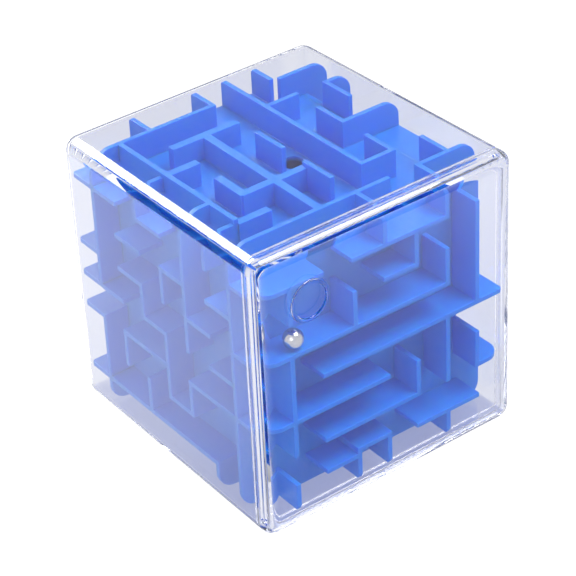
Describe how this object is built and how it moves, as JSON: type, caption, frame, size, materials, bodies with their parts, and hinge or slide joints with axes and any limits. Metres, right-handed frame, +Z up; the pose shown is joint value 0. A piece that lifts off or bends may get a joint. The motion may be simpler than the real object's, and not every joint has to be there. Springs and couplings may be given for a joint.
{
  "type": "3d maze ball puzzle",
  "caption": "Clear square case with a removable lid round a cube-shaped blue rib maze; a small steel ball rolls through its corridors.",
  "frame": {"origin": "under the middle of the case at its lowest edge, on the surface it stands on", "axes": "+Z up, -Y out through the lid, +X to the right seen from the lid"},
  "size_m": [0.06, 0.0619, 0.0603],
  "materials": {
    "clear_case": "clear moulded polystyrene, polished",
    "clear_lid": "clear moulded polystyrene, polished",
    "maze_blue": "blue moulded polystyrene, satin",
    "ball_steel": "polished steel"
  },
  "bodies": {
    "case": {"case_box": "clear_case", "maze_front": "maze_blue", "maze_back": "maze_blue", "maze_left": "maze_blue", "maze_right": "maze_blue", "maze_top": "maze_blue", "maze_bottom": "maze_blue"},
    "lid": {"case_lid": "clear_lid"},
    "ball": {"ball": "ball_steel"}
  },
  "joints": [
    {"name": "lid_pull", "type": "slide", "parent": "case", "child": "lid", "axis": [0, -1, 0], "range_m": [0, 0.04]},
    {"name": "ball_roll", "type": "slide", "parent": "case", "child": "ball", "axis": [1, 0, 0], "range_m": [-0.0059, 0.0102]}
  ]
}
